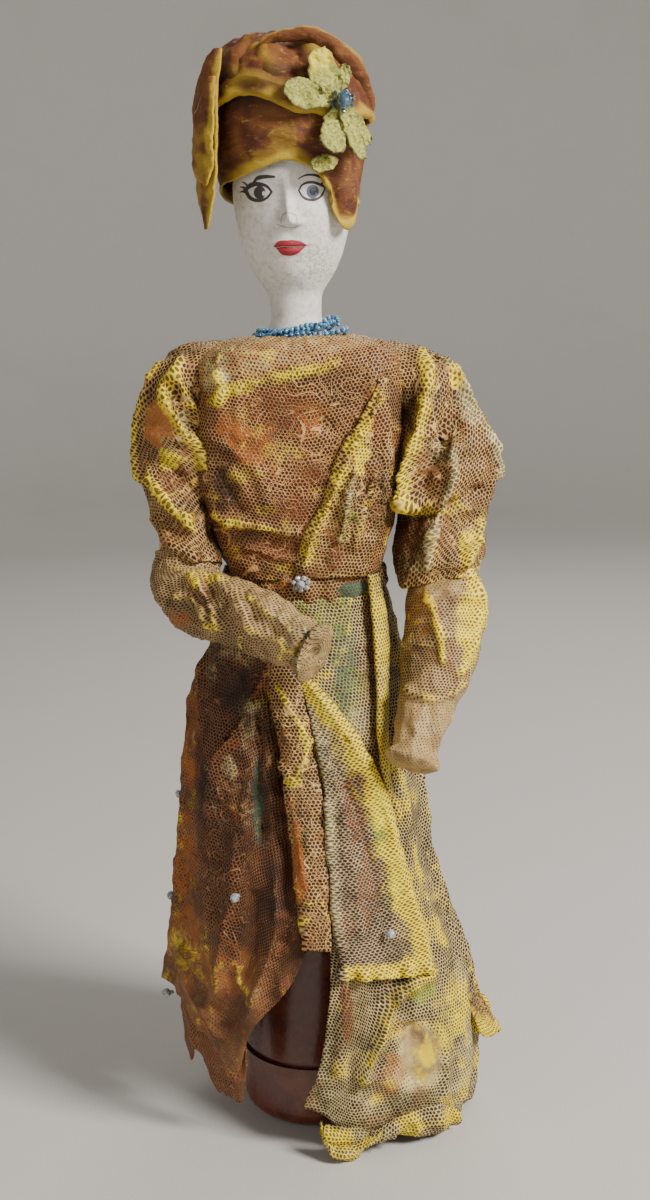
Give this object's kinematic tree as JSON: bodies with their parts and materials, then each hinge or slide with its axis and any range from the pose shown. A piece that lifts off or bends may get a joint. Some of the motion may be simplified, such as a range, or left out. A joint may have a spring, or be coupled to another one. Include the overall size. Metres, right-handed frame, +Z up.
{
  "type": "rod puppet",
  "caption": "Standing rod puppet with a turned wooden head that turns and lifts, strung arms, a netted robe and a wrapped turban.",
  "frame": {"origin": "centre of the underside of the turned foot, on the axis of the central rod", "axes": "+Z up along the central rod; the puppet faces -Y; its right arm is on the -X side"},
  "size_m": [0.1153, 0.0953, 0.36],
  "materials": {
    "lacquered_wood": "dark red-brown lacquer, glossy",
    "bare_wood": "unpainted, matt",
    "painted_face": "white ground paint, worn, with a painted face",
    "turban_cloth": "stiffened brown cloth with ochre edges",
    "petal_paper": "crumpled and painted green-gold",
    "blue_glass": "glossy seed beads",
    "dark_glass": "dark blue faceted bead",
    "clear_glass": "faceted crystal",
    "twine": "twisted cotton",
    "net_gold": "stiffened net over cloth, gold and rust",
    "net_pale": "stiffened net over cloth, pale gold and green",
    "net_rust": "stiffened lace net over rust cloth"
  },
  "bodies": {
    "stand": {"foot": "lacquered_wood", "trunk": "lacquered_wood", "torso": "bare_wood", "shoulder_cord": "twine", "bodice": "net_gold", "bodice_wrap": "net_pale", "waist_sash": "net_gold", "belt_jewel": "clear_glass", "overskirt_right": "net_rust", "overskirt_left": "net_pale", "underskirt": "net_rust", "front_panel": "net_pale", "side_gather": "net_gold", "hem_turnup": "net_gold", "hem_ruffle": "net_gold", "skirt_beads": "clear_glass"},
    "rod": {"central_rod": "bare_wood"},
    "head": {"head": "painted_face", "turban_band": "turban_cloth", "turban_wrap": "turban_cloth", "turban_crown": "turban_cloth", "turban_tail": "turban_cloth", "flower_petal_1": "petal_paper", "flower_petal_2": "petal_paper", "flower_petal_3": "petal_paper", "flower_petal_4": "petal_paper", "flower_petal_5": "petal_paper", "flower_leaf": "petal_paper", "flower_bead": "dark_glass", "necklace_strand_1": "blue_glass", "necklace_strand_2": "blue_glass", "necklace_strand_3": "blue_glass"},
    "right_upper_arm": {"right_upper_arm": "bare_wood", "right_elbow_peg": "bare_wood", "right_upper_sleeve": "net_gold"},
    "right_forearm": {"right_forearm": "bare_wood", "right_lower_sleeve": "net_pale"},
    "left_upper_arm": {"left_upper_arm": "bare_wood", "left_elbow_peg": "bare_wood", "left_upper_sleeve": "net_gold"},
    "left_forearm": {"left_forearm": "bare_wood", "left_lower_sleeve": "net_pale"}
  },
  "joints": [
    {"name": "head_lift", "type": "slide", "parent": "stand", "child": "rod", "axis": [0, 0, 1], "range_m": [0, 0.01]},
    {"name": "head_turn", "type": "hinge", "parent": "rod", "child": "head", "pos_m": [0, 0, 0.256], "axis": [0, 0, 1], "continuous": true},
    {"name": "right_shoulder", "type": "hinge", "parent": "stand", "child": "right_upper_arm", "pos_m": [-0.034, 0.005, 0.24], "axis": [-1, 0, 0], "range_deg": [0, 45]},
    {"name": "right_elbow", "type": "hinge", "parent": "right_upper_arm", "child": "right_forearm", "pos_m": [-0.039, -0.015, 0.181], "axis": [-1, 0, 0], "range_deg": [0, 20]},
    {"name": "left_shoulder", "type": "hinge", "parent": "stand", "child": "left_upper_arm", "pos_m": [0.034, 0.005, 0.24], "axis": [-1, 0, 0], "range_deg": [0, 45]},
    {"name": "left_elbow", "type": "hinge", "parent": "left_upper_arm", "child": "left_forearm", "pos_m": [0.048, -0.004, 0.181], "axis": [-1, 0, 0], "range_deg": [0, 50]}
  ]
}
